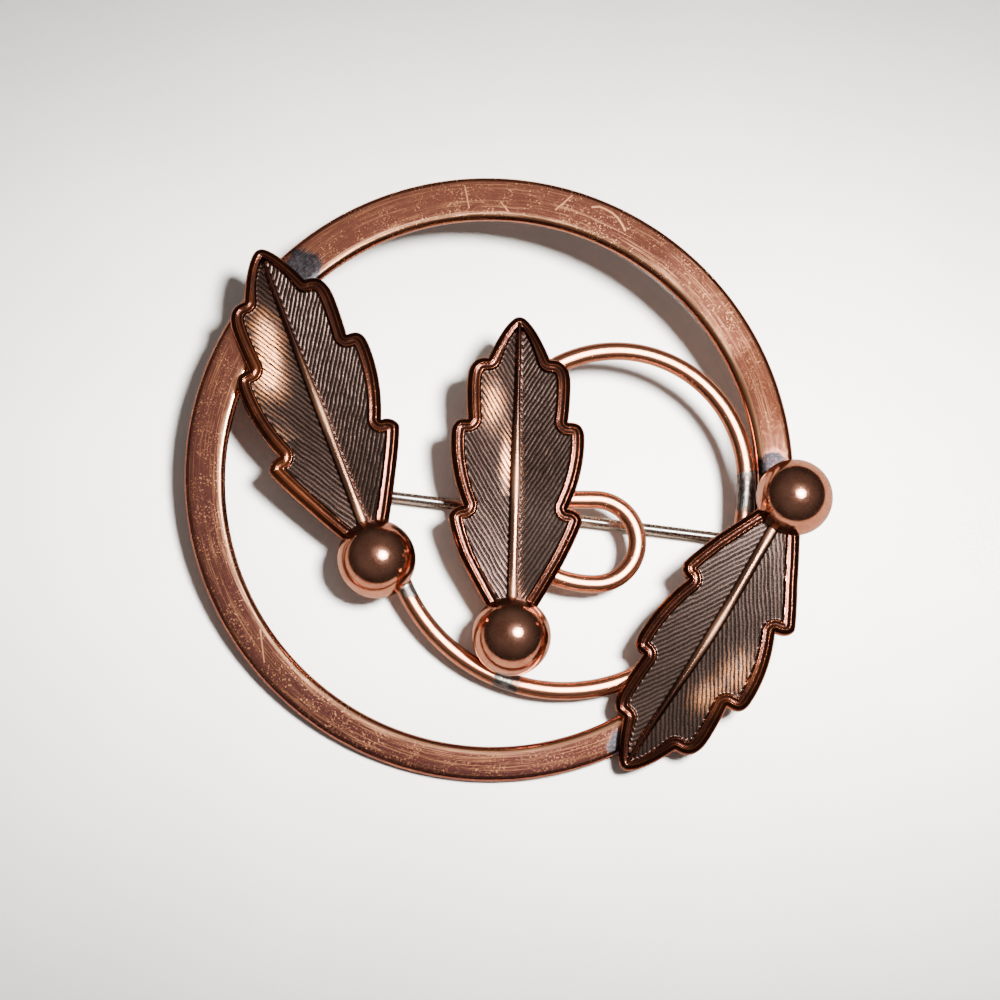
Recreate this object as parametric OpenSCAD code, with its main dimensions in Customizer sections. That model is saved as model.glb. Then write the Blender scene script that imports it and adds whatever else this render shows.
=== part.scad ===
// Copper leaf brooch: a flat ring with a curled wire vine, three ribbed leaves with a
// ball at each leaf's foot, and a hinged pin stem behind. Millimetres.
// The pieces are drawn in the brooch's own plane: the ring's middle is the origin, z = 0
// is the ring's mid-thickness and +z is the face. The last step lays the brooch down on
// its hinge, its catch and the ring's lower edge, as it lies by itself on a table.

/* [Ring] */
// Outer radius of the flat ring
ring_outer_r = 28.5; // [24:0.5:32]
// Radius of the hole in the ring
ring_inner_r = 24.85; // [20:0.05:28]
// How far the hole's middle sits to the right of the ring's middle
ring_hole_x = 0.12; // [-0.5:0.01:0.5]
// How far the hole's middle sits above the ring's middle, so the band is widest on top
ring_hole_y = -0.42; // [-0.6:0.01:0.6]
// Thickness of the flat band
ring_t = 1.4; // [1:0.1:2]
// Rounding of the band's edges
ring_edge_r = 0.5; // [0.2:0.05:0.6]

/* [Vine] */
// Radius of the round wire
wire_r = 0.85; // [0.7:0.01:1]
// Middle of the first bend, left to right
vine_x = 6.77; // [6.6:0.01:6.8]
// Middle of the first bend, bottom to top
vine_y = -3.9; // [-4:0.01:-3.8]

/* [Leaves] */
// Length from the ball's middle to the leaf's tip, on the middle leaf
leaf_len = 30; // [28:0.5:32]
// Height of the rim over the leaf's flat back
leaf_rim_h = 1.15; // [0.9:0.05:1.4]
// Width of the smooth raised rim
leaf_rim_w = 1.25; // [0.8:0.05:1.4]
// Height of the sunken field beside the rim and the midrib
leaf_field_h = 0.95; // [0.7:0.05:1.1]
// Depth of the trough between rim and midrib
leaf_trough = 0.32; // [0.1:0.02:0.45]
// How much higher the middle of the leaf is than its ends
leaf_arch = 0.45; // [0:0.05:0.8]
// Width of the midrib at the leaf's foot
rib_w = 0.9; // [0.6:0.05:1.2]
// Height of the midrib over the leaf's flat back
rib_h = 1.35; // [1.2:0.05:1.6]

/* [Balls] */
// Radius of the balls at the left and middle leaf
ball_r = 3.65; // [3.4:0.05:3.8]
// Radius of the ball at the right leaf
right_ball_r = 3.55; // [3.4:0.05:3.8]

/* [Pin] */
// Hinge axis, left to right
hinge_x = -13.5; // [-14.5:0.5:-13]
// Hinge axis, bottom to top
hinge_y = -1.06; // [-1.5:0.01:-0.8]
// Turn of the stem from level
pin_angle = -6.85; // [-7.5:0.05:-6.5]
// Radius of the stem
stem_r = 0.5; // [0.45:0.01:0.55]
// How far the stem lies behind the ring's mid-thickness
stem_depth = 3.3; // [3.1:0.05:3.4]
// From the hinge axis to the middle of the catch
catch_reach = 40; // [39:0.1:40.5]
// From the hinge axis to the point
stem_len = 43; // [42:0.5:44]
// Length of the tapered point
taper_len = 5; // [4:0.5:7]
// Radius of the rivet in the hinge
rivet_r = 0.45; // [0.4:0.01:0.5]
// Running clearance round the rivet and beside the stem's eye
hinge_play = 0.05; // [0.03:0.01:0.08]

/* [Rest] */
// Slope at which the brooch lies on its hinge, its catch and the ring's lower edge
rest_tilt = 9; // [8:0.5:10]
// Hairline gap between pieces that are soldered to each other
seam = 0.03; // [0.02:0.01:0.05]

/* [Hidden] */
$fn = 96;

copper = "#b5613c";
dark_copper = "#6b3a2a";
silver = "#c9cbcc";

// Bends of the vine in order along the wire, all turning the same way; the last is the
// almost straight tail behind the middle leaf.
// Each row: radius of the wire's middle line, direction in which the bend ends
RADIUS = 0;
END_ANGLE = 1;
vine_bends = [
    [16.2, 325.6],
    [22.35, 361.7],
    [12.1, 546.3],
    [9.75, 631.5],
    [3.97, 810],
    [200, 811],
];
vine_start = 199;
// The bends are joined by short cores, a hair thicker than the wire
joint_len = 0.4;
joint_lip = 0.015;
joint_gap = 0.05;

// Half outline of a leaf: the foot, two teeth and the tip. Each is a side that swells and
// then a rounded corner that drops to the start of the next.
// Each row: start along the leaf from the ball's middle, half width there, where the
// corner starts, half width there, how early the side swells, and how square the corner
// is along and across the leaf
START = 0;
START_W = 1;
CORNER = 2;
CORNER_W = 3;
SWELL = 4;
SQUARE = 5;
teeth = [
    [1.8, 1.8, 10.8, 6.4, 1.15, [1.9, 1.9]],
    [11.95, 5.03, 18.2, 6.45, 2, [3, 3]],
    [20.1, 4.85, 23.3, 5.02, 2, [2.6, 2.6]],
    [26, 3, 26, 3, 1, [1, 1.6]],
];
tip_half = 0.15;
// Longest step between two cross-sections of a leaf's sides, and steps round each corner
leaf_step = 0.75;
corner_steps = 7;
// Where a leaf's foot starts, inside the ball that then cuts it, and its height at both ends
foot_in = 2;
end_h = 0.7;
// Share of the rim's width where its inner slope ends and its outer rounding starts
rim_inner = 0.22;
rim_outer = 0.7;
// Where a longer leaf starts to be drawn out, and between which places along a leaf its
// sides' width goes over from the foot's share to the teeth's
longer_from = 12;
share_foot = 7;
share_teeth = 11;

// The three sprigs. Each row: ball's middle x, y and z, ball radius, direction of the
// leaf's tip, z of the leaf's back at the tip, how far the leaf is slid away from the
// ball, how much longer it is, how wide its left and its right side are at the foot and
// at the teeth, how many degrees its foot is raised and its right side lowered
BALL = 0;
SIZE = 1;
HEADING = 2;
BACK = 3;
SLIDE = 4;
LONGER = 5;
LEFT = 6;
RIGHT = 7;
RAISED = 8;
LOWERED = 9;
ring_top = ring_t / 2;
left = [[-10.65, -8.1, 1.7], ball_r, 111.05, ring_top + seam, 0.1, 1.1,
    [0.985, 1], [0.985, 1], 0, 0];
middle = [[1.79, -15.25, 2.45], ball_r, 88.4, wire_r + seam, 0.1, 0,
    [1.04, 0.95], [1.01, 0.985], 0, 0];
right = [[27.95, -2.38, ring_top + 3.3], right_ball_r, 237.7, 0.79, -0.45, 0,
    [1, 1.05], [0.85, 0.82], 4, 4];

eye_t = 0.9;
eye_r = 1.15;
tang_w = 0.84;
collar_r = 0.75;
collar_at = 1.6;
collar_len = 0.8;
ear_t = 0.45;
ear_out = eye_t / 2 + hinge_play + ear_t;
plate_t = 0.6;
hinge_plate = [5, 3.4];
catch_plate = [3, 2.8];
catch_len = 1.8;
catch_r = 1.0;
catch_seat_r = 0.5;
catch_mouth = 0.88;
guide_t = 0.5;
guide_mid = 0.75;

// Lying down: heights over the table are read across the pin line, at distance v from it
ring_v = -(hinge_y * cos(pin_angle) - hinge_x * sin(pin_angle));
low_edge_v = ring_v - ring_outer_r + ring_edge_r * (1 - sin(rest_tilt));
low_edge_z = -ring_top + ring_edge_r * (1 - cos(rest_tilt));
table = low_edge_v * sin(rest_tilt) + low_edge_z * cos(rest_tilt);
function table_z(v) = (table - v * sin(rest_tilt)) / cos(rest_tilt);
ear_r = -stem_depth - table_z(-ear_out);
guide_z = table_z(guide_mid) + guide_t / 2 / cos(rest_tilt);

// Middle of the lying brooch: ring edges left, top and bottom, right ball on the right
right_shift = sin(-pin_angle) * right[BALL][2] * sin(rest_tilt);
centre_x = (right[BALL][0] + right_ball_r - right_shift - ring_outer_r) / 2;
centre_y = -ring_v * (1 - cos(rest_tilt));

function arc(middle, r, from, to, n) =
    [for (i = [0:n]) let(a = from + (to - from) * i / n) middle + r * [cos(a), sin(a)]];

function vine_middle(i) = i == 0 ? [vine_x, vine_y] : vine_middle(i - 1)
    + (vine_bends[i - 1][RADIUS] - vine_bends[i][RADIUS])
    * [cos(vine_bends[i - 1][END_ANGLE]), sin(vine_bends[i - 1][END_ANGLE])];

// Where a stretch of the leaf's outline ends: at the next one's start, or at the tip
function stretch_end(i) = i < len(teeth) - 1
    ? [teeth[i + 1][START], teeth[i + 1][START_W]] : [leaf_len, tip_half];

// Points of one stretch of the half outline: along the leaf, half width
function stretch(i) =
    let(t = teeth[i], from = [t[START], t[START_W]], corner = [t[CORNER], t[CORNER_W]],
        drop = stretch_end(i) - corner, n = ceil((corner[0] - from[0]) / leaf_step))
    concat(
        [for (k = [1:1:n]) [from[0] + (corner[0] - from[0]) * k / n,
            from[1] + (corner[1] - from[1]) * (1 - pow(1 - k / n, t[SWELL]))]],
        [for (k = [1:corner_steps]) let(a = 90 * k / corner_steps)
            corner + [drop[0] * pow(sin(a), 2 / t[SQUARE][0]),
                drop[1] * (1 - pow(cos(a), 2 / t[SQUARE][1]))]]);
leaf_half = concat([[teeth[0][START], teeth[0][START_W]]],
    [for (i = [0:len(teeth) - 1]) each stretch(i)]);

// Outline of one half of a sprig's leaf
function outline(sprig, side) = [for (p = leaf_half) [
    p[0] + sprig[LONGER] * max(0, (p[0] - longer_from) / (leaf_len - longer_from)),
    p[1] * lookup(p[0], [[share_foot, sprig[side][0]], [share_teeth, sprig[side][1]]])]];
function rib_half(y) = rib_w / 2 * (1 - 0.65 * y / leaf_len);
function arch(y) = leaf_arch * (1 - pow((y - leaf_len / 2) / (leaf_len / 2), 2));
// Half width of the field: the outline drawn in by the rim's width on all sides
function field_half(y, half) = max(0.3 * lookup(y, half), min([for (s = [-1:0.1:1])
    lookup(y + leaf_rim_w * s, half) - leaf_rim_w * sqrt(1 - s * s)]));
function trough(u) = leaf_field_h - 4 * leaf_trough * u * (1 - u);

// One half of a cross-section, from the midrib's crest out to the edge and down
function half_section(y, half) =
    let(edge = lookup(y, half), field = field_half(y, half), rim = edge - field,
        rib = min(rib_half(y), 0.45 * field), foot = min(rib + 0.12, 0.7 * field), h = arch(y))
    concat(
        [[0, rib_h + h], [0.4 * rib, rib_h + h - 0.03], [rib, rib_h + h - 0.25]],
        [for (u = [0:0.25:1]) [foot + (field - foot) * u, trough(u) + h]],
        [[field + rim_inner * rim, leaf_rim_h + h - 0.06],
            [field + rim / 2, leaf_rim_h + h],
            [field + rim_outer * rim, leaf_rim_h + h - 0.08],
            [edge, leaf_rim_h + h - 0.42], [edge, 0]]);

// Cross-section stations: the foot, then every point of the outline beyond it
function stations(half, foot_y) =
    concat([foot_y], [for (p = half) if (p[0] > foot_y + end_h / 10) p[0]]);

module leaf_solid(sprig) {
    left_half = outline(sprig, LEFT);
    right_half = outline(sprig, RIGHT);
    ys = stations(left_half, foot_in - sprig[SLIDE]);
    last = len(ys) - 1;
    half_n = len(half_section(ys[0], left_half));
    n = 2 * half_n - 1;
    rows = [for (i = [0:last])
        let(sides = [half_section(ys[i], left_half), half_section(ys[i], right_half)],
            top = i == 0 || i == last ? end_h : 2 * rib_h)
        [for (k = [-half_n + 1:half_n - 1]) let(p = sides[k < 0 ? 0 : 1][abs(k)])
            [sign(k) * p[0], ys[i], min(p[1], top)]]];
    points = [for (row = rows) each row];
    skin = [for (i = [0:last - 1], k = [0:n - 1]) let(k2 = (k + 1) % n)
        each [[i * n + k, (i + 1) * n + k, (i + 1) * n + k2],
            [i * n + k, (i + 1) * n + k2, i * n + k2]]];
    ends = [for (k = [1:n - 2])
        each [[0, k, k + 1], [last * n, last * n + k + 1, last * n + k]]];
    polyhedron(points, concat(skin, ends), convexity = 6);
}

// Puts a leaf drawn from the ball's middle up the y axis where its sprig grows
module at_sprig(sprig) {
    translate([sprig[BALL][0], sprig[BALL][1], sprig[BACK]])
        rotate([0, 0, sprig[HEADING] - 90]) translate([0, leaf_len + sprig[SLIDE], 0])
            rotate([-sprig[RAISED], sprig[LOWERED], 0])
                translate([0, -leaf_len, 0]) children();
}

// Draws in the pin's own frame: the hinge axis is the origin and +x runs to the point
module at_hinge() {
    translate([hinge_x, hinge_y, -stem_depth]) rotate([0, 0, pin_angle]) children();
}

// Lays the finished brooch down on the table, with its middle over the origin. It turns
// about the pin line, which passes the ring's middle at the distance ring_v.
module lying() {
    translate([-centre_x, -centre_y, -table])
        rotate([0, 0, pin_angle])
            translate([0, -ring_v, 0]) rotate([rest_tilt, 0, 0]) translate([0, ring_v, 0])
                rotate([0, 0, -pin_angle]) children();
}

// Half profile of a disc with rounded edge
module disc_profile() {
    in = ring_outer_r - ring_edge_r;
    polygon(concat([[0, -ring_top]], arc([in, ring_edge_r - ring_top], ring_edge_r, -90, 0, 6),
        arc([in, ring_top - ring_edge_r], ring_edge_r, 0, 90, 6), [[0, ring_top]]));
}

// Half profile of the hole, flared above and below so the band's inner edge is rounded
module hole_profile() {
    out = ring_inner_r + ring_edge_r;
    polygon(concat([[0, -ring_t]], [[out, -ring_t]],
        arc([out, ring_edge_r - ring_top], ring_edge_r, 270, 180, 6),
        arc([out, ring_top - ring_edge_r], ring_edge_r, 180, 90, 6),
        [[out, ring_t], [0, ring_t]]));
}

// A short cylinder along the hinge's rivet, centred on it
module across(r, length) {
    rotate([90, 0, 0]) cylinder(r = r, h = length, center = true);
}

module ring() {
    color(copper) lying() difference() {
        rotate_extrude() disc_profile();
        translate([ring_hole_x, ring_hole_y, 0]) rotate_extrude() hole_profile();
        translate(right[BALL]) sphere(right_ball_r + seam);
    }
}

// One bend of the vine, which stops just short of its neighbours
module bend(i) {
    short = joint_gap / vine_bends[i][RADIUS] * 180 / PI;
    from = i == 0 ? vine_start : vine_bends[i - 1][END_ANGLE] + short;
    to = vine_bends[i][END_ANGLE] - short;
    translate(vine_middle(i)) rotate([0, 0, from]) rotate_extrude(angle = to - from)
        translate([vine_bends[i][RADIUS], 0]) circle(wire_r);
}

// The short straight core that joins a bend to the one before it
module joint(i) {
    translate(vine_middle(i)) rotate([0, 0, vine_bends[i - 1][END_ANGLE]])
        translate([vine_bends[i][RADIUS], 0, 0])
            rotate([90, 0, 0]) cylinder(r = wire_r + joint_lip, h = joint_len, center = true);
}

module vine() {
    color(copper) lying() difference() {
        union() {
            for (i = [0:len(vine_bends) - 1]) bend(i);
            for (i = [1:len(vine_bends) - 1]) joint(i);
        }
        translate(left[BALL]) sphere(ball_r + seam);
    }
}

module leaf(sprig) {
    color(dark_copper) lying() difference() {
        at_sprig(sprig) leaf_solid(sprig);
        translate(sprig[BALL]) sphere(sprig[SIZE] + seam);
    }
}

module ball(sprig) {
    color(copper) lying() translate(sprig[BALL]) sphere(sprig[SIZE]);
}

module leaf_left() { leaf(left); }
module leaf_middle() { leaf(middle); }
module leaf_right() { leaf(right); }
module ball_left() { ball(left); }
module ball_middle() { ball(middle); }
module ball_right() { ball(right); }

// Soldered to the left leaf's back: a plate, two ears and the rivet through them
module pin_hinge() {
    plate_top = stem_depth + left[BACK] - seam;
    color(silver) lying() at_hinge() {
        translate([-hinge_plate[0] / 2, -hinge_plate[1] / 2, plate_top - plate_t])
            cube([hinge_plate[0], hinge_plate[1], plate_t]);
        for (side = [-1, 1]) translate([0, side * (ear_out - ear_t / 2), 0]) {
            across(ear_r, ear_t);
            translate([-ear_r, -ear_t / 2, 0]) cube([2 * ear_r, ear_t, plate_top - plate_t / 2]);
        }
        across(rivet_r, 2 * ear_out);
    }
}

// Soldered to the ring's back: a plate, a neck and an open hook with one longer guide lip
module pin_catch() {
    plate_top = stem_depth - ring_top - seam;
    color(silver) lying() at_hinge() translate([catch_reach, 0, 0]) difference() {
        union() {
            translate([-catch_plate[0] / 2, -catch_plate[1] / 2, plate_top - plate_t])
                cube([catch_plate[0], catch_plate[1], plate_t]);
            translate([-catch_len / 2, -catch_r, 0])
                cube([catch_len, 2 * catch_r, plate_top - plate_t / 2]);
            rotate([0, 90, 0]) cylinder(r = catch_r, h = catch_len, center = true);
            translate([0, guide_mid, 0]) {
                translate([-catch_len / 2, -guide_t / 2, guide_z + stem_depth])
                    cube([catch_len, guide_t, -guide_z - stem_depth]);
                translate([0, 0, guide_z + stem_depth]) rotate([0, 90, 0])
                    cylinder(r = guide_t / 2, h = catch_len, center = true);
            }
        }
        rotate([0, 90, 0]) cylinder(r = catch_seat_r, h = 2 * catch_len, center = true);
        translate([-catch_len, -catch_mouth / 2, -2 * catch_r])
            cube([2 * catch_len, catch_mouth, 2 * catch_r]);
    }
}

// The stem: a flat eye on the rivet, a square tang, a collar, a round shank and a point
module pin_stem() {
    color(silver) lying() at_hinge() {
        difference() {
            union() {
                across(eye_r, eye_t);
                translate([0, -tang_w / 2, -tang_w / 2])
                    cube([collar_at + collar_len / 2, tang_w, tang_w]);
                translate([collar_at, 0, 0]) rotate([0, 90, 0])
                    cylinder(r = collar_r, h = collar_len);
                translate([collar_at + collar_len / 2, 0, 0]) rotate([0, 90, 0])
                    cylinder(r = stem_r, h = stem_len - taper_len - collar_at - collar_len / 2);
                translate([stem_len - taper_len, 0, 0]) rotate([0, 90, 0])
                    cylinder(r1 = stem_r, r2 = stem_r / 6, h = taper_len);
            }
            across(rivet_r + hinge_play, 2 * eye_t);
        }
    }
}

ring();
vine();
leaf_left();
leaf_middle();
leaf_right();
ball_left();
ball_middle();
ball_right();
pin_hinge();
pin_catch();
pin_stem();
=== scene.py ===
# %% [markdown]
# # A copper leaf brooch on white paper
#
# The real brooch is a flat copper ring about as wide as two thumbs, with a curled wire
# vine inside it, three ribbed leaves and a polished ball at each leaf's foot. A hinged
# pin stem crosses behind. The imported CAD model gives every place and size; this lesson
# dresses it: engraved grooves, rounded rims, brushed and mirror copper, solder stains.
#
# First the fixed model is loaded. Nothing in it is ever moved.

# %% Load the fixed model
import math
import random
from functools import reduce

import bpy
import bmesh
import numpy as np
from mathutils import Matrix, Vector
from mathutils.geometry import delaunay_2d_cdt


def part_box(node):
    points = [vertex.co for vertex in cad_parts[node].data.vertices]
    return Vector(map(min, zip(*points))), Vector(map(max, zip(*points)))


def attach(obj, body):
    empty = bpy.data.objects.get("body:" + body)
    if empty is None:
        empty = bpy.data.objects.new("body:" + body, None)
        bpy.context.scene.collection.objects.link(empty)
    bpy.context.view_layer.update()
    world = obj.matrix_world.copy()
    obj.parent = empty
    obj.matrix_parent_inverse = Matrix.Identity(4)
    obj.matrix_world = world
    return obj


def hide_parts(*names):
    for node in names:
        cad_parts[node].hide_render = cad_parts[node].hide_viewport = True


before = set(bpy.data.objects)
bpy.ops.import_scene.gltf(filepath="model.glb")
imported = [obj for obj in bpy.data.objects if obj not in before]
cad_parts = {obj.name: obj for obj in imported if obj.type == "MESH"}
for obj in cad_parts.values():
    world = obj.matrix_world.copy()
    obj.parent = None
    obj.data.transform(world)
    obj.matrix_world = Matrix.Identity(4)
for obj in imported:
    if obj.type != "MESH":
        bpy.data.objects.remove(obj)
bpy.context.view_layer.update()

print("nodes:", ", ".join(sorted(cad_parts)))

# %% [markdown]
# ## The brooch's own plane
#
# The brooch lies on its hinge, its catch and the ring's lower edge, so its plane slopes
# by nine degrees. It is far easier to draw each piece flat, in millimetres round the
# ring's middle, and to lay it down at the end. One function does that for any points.

# %% From the flat drawing to the table
PIN_TURN = math.radians(-6.85)
SLOPE = math.radians(9)
HINGE = np.array([-13.5, -1.06, -3.3])
RING_R = 28.5
RING_T = 1.4
RING_EDGE = 0.5


def turn(axis, angle):
    return np.array(Matrix.Rotation(angle, 3, axis))


pin_across = np.array([-math.sin(PIN_TURN), math.cos(PIN_TURN), 0.0])
ring_off = -float(HINGE[:2] @ pin_across[:2])
tilt = turn("Z", PIN_TURN) @ turn("X", SLOPE) @ turn("Z", -PIN_TURN)
low_v = ring_off - RING_R + RING_EDGE * (1 - math.sin(SLOPE))
low_z = -RING_T / 2 + RING_EDGE * (1 - math.cos(SLOPE))
table = low_v * math.sin(SLOPE) + low_z * math.cos(SLOPE)
BALL_RIGHT = np.array([27.95, -2.38, 4.0])
right_edge = BALL_RIGHT[0] + 3.55 - math.sin(-PIN_TURN) * BALL_RIGHT[2] * math.sin(SLOPE)
middle = np.array([(right_edge - RING_R) / 2, -ring_off * (1 - math.cos(SLOPE)), table])
pivot = -ring_off * pin_across


def lay(points):
    """Points of the flat drawing, in mm, laid down on the table, in metres."""
    return ((np.asarray(points, float) - pivot) @ tilt.T + pivot - middle) / 1000


for name in ("ring", "pin_stem"):
    low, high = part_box(name)
    print(name, "in mm:", [round(1000 * x, 2) for x in low], [round(1000 * x, 2) for x in high])
print("ring's top edge lands at", np.round(1000 * lay([0, RING_R, 0]), 2))

# %% [markdown]
# ## Camera
#
# A macro picture, taken from a quarter of a metre above the brooch's lower edge. The
# place was worked out from the ring: an ellipse's shape says from how far and from which
# side a circle is seen. A long lens keeps the perspective as gentle as in the picture.

# %% Camera at the picture's angle
def new_object(name, data):
    made = bpy.data.objects.new(name, data)
    bpy.context.scene.collection.objects.link(made)
    return made


eye = Vector((-19.41, -75.03, 248.13)) / 1000
aim = Vector((-0.595, -2.256, 4.739)) / 1000
back = (eye - aim).normalized()
up = Vector((-0.0114, 0.9583, 0.2857))
side = up.cross(back).normalized()
up = back.cross(side)
camera_data = bpy.data.cameras.new("camera")
camera_data.sensor_width = 36
camera_data.lens = 2725.2 * 36 / 1000
camera_data.clip_start = 0.01
camera = new_object("camera", camera_data)
camera.matrix_world = Matrix.Translation(eye) @ Matrix((side, up, back)).transposed().to_4x4()
bpy.context.scene.camera = camera
print("camera", round(1000 * (eye - aim).length), "mm away, lens", round(camera_data.lens, 1))

# %% [markdown]
# ## Building a material
#
# Shader nodes are wired by a short helper: it makes a node, sets its fields, and each
# input gets either a number or another node's output. With it a whole finish reads like
# a recipe. Every pattern reads `plan`, the place on the flat drawing in millimetres that
# each mesh carries as an attribute, so sizes in a recipe are real sizes.

# %% Helpers for shader and geometry nodes
def add(tree, kind, inputs=None, **fields):
    made = tree.nodes.new(kind)
    for field, value in fields.items():
        setattr(made, field, value)
    for key, value in (inputs or {}).items():
        if isinstance(value, bpy.types.NodeSocket):
            tree.links.new(value, made.inputs[key])
        else:
            made.inputs[key].default_value = value
    return made


def out(made, key=0):
    return made.outputs[key]


class Recipe:
    """A material's node tree, with one-line calls for the steps that recur."""

    def __init__(self, name):
        self.material = bpy.data.materials.new(name)
        self.material.use_nodes = True
        self.tree = self.material.node_tree
        self.tree.nodes.clear()
        self.plan = self.attribute("plan", "Vector")

    def attribute(self, name, output="Fac"):
        return out(add(self.tree, "ShaderNodeAttribute", attribute_name=name), output)

    def math(self, operation, a, b=0.0, clamp=False):
        return out(add(self.tree, "ShaderNodeMath", {0: a, 1: b}, operation=operation,
                       use_clamp=clamp))

    def times(self, *values):
        return reduce(lambda a, b: self.math("MULTIPLY", a, b), values)

    def plus(self, *values):
        return reduce(lambda a, b: self.math("ADD", a, b), values)

    def most(self, *values):
        return reduce(lambda a, b: self.math("MAXIMUM", a, b), values)

    def vector(self, operation, a, b=(0, 0, 0), result="Vector"):
        return out(add(self.tree, "ShaderNodeVectorMath", {0: a, 1: b}, operation=operation),
                   result)

    def scaled(self, vector, scale):
        return self.vector("MULTIPLY", vector, scale)

    def distance(self, a, b=(0, 0, 0)):
        return self.vector("DISTANCE", a, b, "Value")

    def noise(self, vector, scale, detail=3.0, rough=0.5, warp=0.0):
        made = add(self.tree, "ShaderNodeTexNoise", {"Vector": vector, "Scale": scale,
                   "Detail": detail, "Roughness": rough, "Distortion": warp})
        return out(made, "Fac")

    def curve(self, value, low, high, to_low=0.0, to_high=1.0):
        made = add(self.tree, "ShaderNodeMapRange", {"Value": value, "From Min": low,
                   "From Max": high, "To Min": to_low, "To Max": to_high},
                   interpolation_type="SMOOTHSTEP")
        return out(made, "Result")

    def mix(self, share, a, b):
        made = add(self.tree, "ShaderNodeMix", data_type="RGBA")
        for key, value in ((0, share), (6, a), (7, b)):
            if isinstance(value, bpy.types.NodeSocket):
                self.tree.links.new(value, made.inputs[key])
            else:
                made.inputs[key].default_value = value if key == 0 else (*value, 1)
        return out(made, 2)

    def band(self, value, centre, half):
        """1 where the value is near the centre, falling to 0 at half on each side."""
        off = self.math("ABSOLUTE", self.math("SUBTRACT", value, centre))
        return self.curve(off, half, half * 0.35)

    def spot(self, centre, radius, ragged=0.35):
        """1 within radius mm of a place on the drawing, 0 outside, with a ragged edge."""
        wave = self.times(self.noise(self.plan, 0.9, 3.0), ragged * radius)
        away = self.plus(self.distance(self.plan, centre), wave)
        return self.curve(away, radius * 1.25, radius * 0.95)

    def hairs(self, angle, along, across, low, high):
        """Fine straight scratches that run at an angle over the drawing."""
        turned = out(add(self.tree, "ShaderNodeVectorRotate", {"Vector": self.plan,
                         "Angle": math.radians(angle)}, rotation_type="Z_AXIS"))
        scratches = self.noise(self.scaled(turned, (along, across, 0.5)), 1.0, 2.0)
        return self.curve(scratches, low, high)

    def stroke(self, places, width):
        """1 on a thin line drawn through these places, 0 beside it."""
        flat = self.scaled(self.plan, (1, 1, 0))
        nearest = 9.0
        for a, b in zip(places, places[1:]):
            way = (b[0] - a[0], b[1] - a[1], 0)
            span = way[0]**2 + way[1]**2
            off = self.vector("SUBTRACT", flat, (*a, 0))
            share = self.vector("DOT_PRODUCT", off, (way[0] / span, way[1] / span, 0), "Value")
            share = self.math("ADD", share, 0.0, clamp=True)
            reached = out(add(self.tree, "ShaderNodeVectorMath", {0: way, "Scale": share},
                              operation="SCALE"))
            nearest = self.math("MINIMUM", nearest, self.distance(off, reached))
        return self.curve(nearest, width, width * 0.3)

    def bump(self, height, distance, strength=1.0, normal=None):
        inputs = {"Height": height, "Distance": distance, "Strength": strength}
        if normal is not None:
            inputs["Normal"] = normal
        return out(add(self.tree, "ShaderNodeBump", inputs))

    def finish(self, **inputs):
        shader = add(self.tree, "ShaderNodeBsdfPrincipled", {
            key.replace("_", " "): value for key, value in inputs.items()})
        add(self.tree, "ShaderNodeOutputMaterial", {"Surface": out(shader)})
        return self.material


# %% [markdown]
# ## Paper and light
#
# The brooch lies on white paper under a small lamp close to the lens, a little to its
# right. The lamp is what gives the round highlight on each ball and the narrow shadow to
# the left. Around it the room is dim, but for a glow on the ceiling, and that is what
# polished copper shows: a ball reflects the dark room in its middle and the paper round
# its rim.
#
# The picture was exposed until the paper was nearly white, brightest in the middle. One
# lamp can't do that and leave the copper dark, so a photographer would add lamps and
# flags. Here more lamps stand at the same place, each linked to what it is for: the
# paper, the wire with its broad sheen, the balls with their soft halo. A wide, weak glow
# from above opens the shadows on the paper. The paper's colour also carries a painted
# pool of light: brightest near the middle, fading outwards.
#
# Paper and room look paler to the camera than to the copper. From below, the paper isn't
# seen at all, because the pin is on the brooch's back.

# %% Paper, lamps and room
PAPER_REACH = 0.6
LAMP_WAY = Vector((0.248, -0.082, 0.965)).normalized()
LAMP_AWAY = 0.30
PAPER_FOR_COPPER = (0.120, 0.092, 0.074)
CEILING_WAY = (0.10, 0.08, 0.99)
FADE_PER_M = (13.75, 24.45, 0)
LAMPS = (  # name, watts, width in m, way to it, and the blue in its light
    ("lamp", 0.6, 0.034, LAMP_WAY, 0.92), ("lamp_for_paper", 7.3, 0.06, LAMP_WAY, 0.92),
    ("lamp_for_wire", 4.5, 0.27, LAMP_WAY, 0.74), ("lamp_for_balls", 1.1, 0.13, LAMP_WAY, 0.92),
    ("glow_for_paper", 0.16, 0.5, Vector((0, 0, 1)), 0.92))

paper = new_object("paper", bpy.data.meshes.new("paper"))
sheet = [(x * PAPER_REACH, y * PAPER_REACH, 0) for x, y in ((-1, -1), (1, -1), (1, 1), (-1, 1))]
paper.data.from_pydata(sheet, [], [(0, 1, 2, 3)])
recipe = Recipe("white_paper")
place = out(add(recipe.tree, "ShaderNodeTexCoord"), "Object")
cloudy = recipe.noise(place, 60, 4.0)
fibres = recipe.noise(place, 2600, 3.0)
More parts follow.
